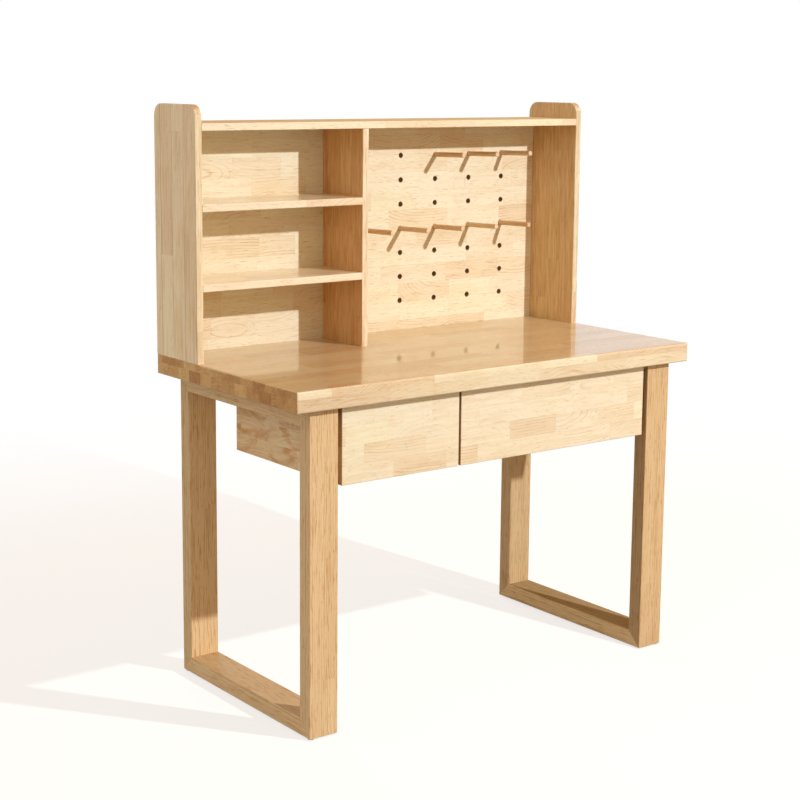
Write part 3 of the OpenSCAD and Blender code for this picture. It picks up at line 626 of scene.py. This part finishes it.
# painted light: the end tints lighten the pegs' tips to a lit cream
pegLook = dict(dowelLook, tint=(0.74, 0.59, 0.42), endTint=(1.24, 1.30, 1.62), endDark=(1.17, 1.20, 1.45))
for number in range(1, 9):
    dressWood("peg_%d" % number, "YXZ", pegLook, {"seed": number * 1.3})
for name in ("mitre_tenons", "case_dowels", "shelf_dowels"):
    dressWood(name, "XYZ", dowelLook)
dressWood("hutch_dowels", "ZXY", dowelLook)

boxLook = {"staveWidth": 0.065, "tint": (0.95, 0.93, 0.90)}
plyLook = {
    "staveWidth": 2.0, "staveStart": 1.0, "blockLength": 4.0, "seamDark": 0.0, "lean": 0.5,
    "bow": 0.1, "ringGap": 0.014, "tint": (0.93, 0.90, 0.86), "roughness": 0.6, "coat": 0.0,
}
for side, seed in (("left", 1.7), ("right", 4.7)):
    drawer = side + "_drawer_"
    dressWood(drawer + "left_side", "YZX", boxLook, {"seed": seed})
    dressWood(drawer + "right_side", "YZX", boxLook, {"seed": seed + 0.9})
    dressWood(drawer + "front", "XZY", boxLook, {"seed": seed + 1.8})
    dressWood(drawer + "back", "XZY", boxLook, {"seed": seed + 2.7})
    dressWood(drawer + "bottom", "XYZ", plyLook, {"seed": seed})
print("wood done")


# Metal, nylon and rubber

steelLook = {
    "color": (0.60, 0.61, 0.62), "dull": (0.50, 0.50, 0.49), "cloudScale": 45.0,
    "cloudEdge": (0.35, 0.75), "stretch": (300, 300, 300), "roughness": 0.30, "rubRough": 0.25,
    "rubTone": 0.2, "bump": 0.08, "bumpDepth": 0.0003,
}
slideLook = dict(steelLook, color=(0.66, 0.67, 0.68), dull=(0.57, 0.575, 0.57), roughness=0.26,
                 stretch=(400, 8, 400))
brassLook = dict(steelLook, color=(0.78, 0.60, 0.30), dull=(0.62, 0.45, 0.20), roughness=0.34)


def cloudedColor(place, look, second):
    cloud = smooth(noise(place, look["cloudScale"], 2.0), *look["cloudEdge"])
    return mixed(cloud, (*look["color"], 1), (*second, 1))


def makeMetal(name, look):
    start = newMaterial(name)
    place = objectPlace(start)
    rub = noise(tinted(place, look["stretch"]), 1.0, 3.0, 0.6)
    color = cloudedColor(place, look, look["dull"])
    color = scaled(color, 1 - look["rubTone"] / 2 + look["rubTone"] * rub)
    bump = start.node("ShaderNodeBump", None, {"Strength": look["bump"], "Distance": look["bumpDepth"],
                                               "Height": rub})
    return finishMaterial(start, {"Base Color": color, "Metallic": 1.0, "Normal": bump,
                                  "Roughness": look["roughness"] + (rub - 0.5) * look["rubRough"]})


nylonLook = {
    "color": (0.36, 0.35, 0.33), "worn": (0.26, 0.25, 0.24), "cloudScale": 60.0,
    "cloudEdge": (0.35, 0.7), "grain": 900.0, "grainRough": 0.2, "roughness": 0.5,
    "bump": 0.2, "bumpDepth": 0.0002,
}
rubberLook = dict(nylonLook, color=(0.62, 0.62, 0.60), worn=(0.52, 0.51, 0.48), grain=500.0, roughness=0.6)


def makeMoulding(name, look):
    start = newMaterial(name)
    place = objectPlace(start)
    grain = noise(place, look["grain"], 2.0)
    bump = start.node("ShaderNodeBump", None, {"Strength": look["bump"], "Distance": look["bumpDepth"],
                                               "Height": grain})
    return finishMaterial(start, {"Base Color": cloudedColor(place, look, look["worn"]), "Normal": bump,
                                  "Roughness": look["roughness"] + (grain - 0.5) * look["grainRough"]})


zincSteel = makeMetal("zinc_plated_steel", steelLook)
dress(zincSteel, "frame_bolts", "frame_washers", "case_screws", "hutch_screws")
dress(makeMetal("rolled_slide_steel", slideLook), "slide_case_members", "left_slide_middles",
      "right_slide_middles", "left_drawer_slide_members", "right_drawer_slide_members")
dress(makeMetal("turned_brass", brassLook), "desktop_inserts")
dress(makeMoulding("grey_nylon", nylonLook), "foot_glides")
dress(makeMoulding("clear_rubber", rubberLook), "case_bumpers")
print("metal, nylon and rubber done")


# Small screws: rows of pan heads with a cross recess, one plain mesh for each body

screwLook = {
    "headWidth": 0.0074,
    "headHeight": 0.0021,
    "flatness": 0.45,  # 1 makes the head a half ball, lower flattens its top
    "recessWidth": 0.0046,
    "recessArm": 0.0010,
    "recessDepth": 0.0013,
    "segments": 24,
    "seed": 5,
}


def makeScrewTree(look):
    tree = bpy.data.node_groups.new("screwRow", "GeometryNodeTree")
    ports = (("Geometry", "Geometry"), ("Start", "Vector"), ("Step", "Vector"), ("Count", "Int"),
             ("Facing", "Rotation"), ("Head Width", "Float"), ("Head Height", "Float"), ("Seed", "Int"),
             ("Material", "Material"))
    for name, kind in ports:
        tree.interface.new_socket(name=name, in_out="INPUT", socket_type="NodeSocket" + kind)
    tree.interface.new_socket(name="Geometry", in_out="OUTPUT", socket_type="NodeSocketGeometry")
    given = Term(tree).node("NodeGroupInput")
    height = given.other("Head Height")
    radius = given.other("Head Width") * 0.5
    ball = given.node("GeometryNodeMeshUVSphere", None,
                      {"Segments": look["segments"], "Rings": look["segments"] // 2, "Radius": 1.0})
    place = given.node("ShaderNodeSeparateXYZ", None, {0: given.node("GeometryNodeInputPosition")})
    up = place.other("Z")
    top = up.math("POWER", up.math("MAXIMUM", up, 0.0), look["flatness"])
    head = given.node("GeometryNodeSetPosition", None, {
        "Geometry": ball, "Position": vector(place * radius, place.other("Y") * radius, top * height)})
    lift = given.node("ShaderNodeCombineXYZ", None, {"Z": height})
    for size in ((look["recessWidth"], look["recessArm"]), (look["recessArm"], look["recessWidth"])):
        bar = given.node("GeometryNodeMeshCube", None, {"Size": (*size, 2 * look["recessDepth"])})
        bar = given.node("GeometryNodeTransform", None, {"Geometry": bar, "Translation": lift})
        head = given.node("GeometryNodeMeshBoolean", {"operation": "DIFFERENCE"},
                          {"Mesh 1": head, "Mesh 2": bar})
    row = given.node("GeometryNodeMeshLine", {"mode": "OFFSET"}, {
        "Count": given.other("Count"), "Start Location": given.other("Start"),
        "Offset": given.other("Step")})
    heads = given.node("GeometryNodeInstanceOnPoints", None,
                       {"Points": row, "Instance": head, "Rotation": given.other("Facing")})
    turn = given.node("FunctionNodeRandomValue", {"data_type": "FLOAT"},
                      {3: math.pi, "Seed": given.other("Seed")}, 1)
    turn = given.node("ShaderNodeCombineXYZ", None, {"Z": turn})
    heads = given.node("GeometryNodeRotateInstances", None, {"Instances": heads, "Rotation": turn})
    both = given.node("GeometryNodeJoinGeometry", None, {"Geometry": heads})
    tree.links.new(given.socket, both.socket.node.inputs["Geometry"])
    whole = given.node("GeometryNodeRealizeInstances", None, {"Geometry": both})
    whole = given.node("GeometryNodeSetMaterial", None,
                       {"Geometry": whole, "Material": given.other("Material")})
    given.node("NodeGroupOutput", None, {"Geometry": whole})
    return tree


def addScrews(name, body, rows, look, tree, material):
    carrier = addObject(name, bpy.data.meshes.new(name))
    for number, row in enumerate(rows):
        row = dict(row, Material=material, Seed=look["seed"] + number)
        row["Head Width"], row["Head Height"] = look["headWidth"], look["headHeight"]
        modifier = carrier.modifiers.new("row", "NODES")
        modifier.node_group = tree
        for port in tree.interface.items_tree:
            if port.in_out == "INPUT" and port.name in row:
                modifier[port.identifier] = row[port.name]
    finished = carrier.evaluated_get(bpy.context.evaluated_depsgraph_get())
    carrier.data = bpy.data.meshes.new_from_object(finished)
    carrier.modifiers.clear()
    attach(carrier, body)
    print(name, len(carrier.data.polygons), "faces")


screwRows = {
    "slideGauge": 0.0012,  # of the slides' webs, which the heads sit on
    "drawerMember": (0.08, 0.92, 4),  # first and last place as shares of the length, and how many
    "caseMember": (0.08, 0.92, 3),
    "faceFirst": 0.2,  # as shares of the box front's width and height
    "faceStep": 0.6,
    "faceHeights": (0.25, 0.75),
    "backFirst": 0.03,
    "backStep": 0.05,
    "backCount": 3,
}
faceLeft, faceRight = (0.0, -math.pi / 2, 0.0), (0.0, math.pi / 2, 0.0)
faceRear = (-math.pi / 2, 0.0, 0.0)


def slideRow(node, x, facing, shares):
    # screws spread over a slide member's length, at its middle height
    low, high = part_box(node)
    first, last, count = shares
    length = high.y - low.y
    begin = (x, low.y + first * length, (low.z + high.z) / 2)
    step = (0.0, (last - first) / (count - 1) * length, 0.0)
    return {"Start": begin, "Step": step, "Count": count, "Facing": facing}


def faceRows(front, look):
    # a row of two near the upper and the lower edge of a drawer box's front
    low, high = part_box(front)
    width, tall = high.x - low.x, high.z - low.z
    return [{"Start": (low.x + look["faceFirst"] * width, high.y, low.z + share * tall),
             "Step": (look["faceStep"] * width, 0.0, 0.0), "Count": 2, "Facing": faceRear}
            for share in look["faceHeights"]]


def backRow(back, partition, look):
    # through the case's back into the partition
    low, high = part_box(back)
    splitLow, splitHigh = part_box(partition)
    return {"Start": ((splitLow.x + splitHigh.x) / 2, high.y, low.z + look["backFirst"]),
            "Step": (0.0, 0.0, look["backStep"]), "Count": look["backCount"], "Facing": faceRear}


screwTree = makeScrewTree(screwLook)
gauge = screwRows["slideGauge"]
for drawer in ("left_drawer", "right_drawer"):
    member, shares = drawer + "_slide_members", screwRows["drawerMember"]
    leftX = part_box(drawer + "_left_side")[0].x - gauge
    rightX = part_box(drawer + "_right_side")[1].x + gauge
    rows = [slideRow(member, leftX, faceLeft, shares), slideRow(member, rightX, faceRight, shares)]
    rows += faceRows(drawer + "_front", screwRows)
    addScrews(drawer + "_screws", drawer, rows, screwLook, screwTree, zincSteel)

rows = []
for node, sides in (("case_left_side", (1,)), ("case_partition", (0, 1)), ("case_right_side", (0,))):
    for side in sides:  # 0 is the board's left face, 1 its right face
        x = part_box(node)[side].x + (gauge if side else -gauge)
        facing = faceRight if side else faceLeft
        rows.append(slideRow("slide_case_members", x, facing, screwRows["caseMember"]))
rows.append(backRow("case_back", "case_partition", screwRows))
addScrews("case_small_screws", "bench", rows, screwLook, screwTree, zincSteel)
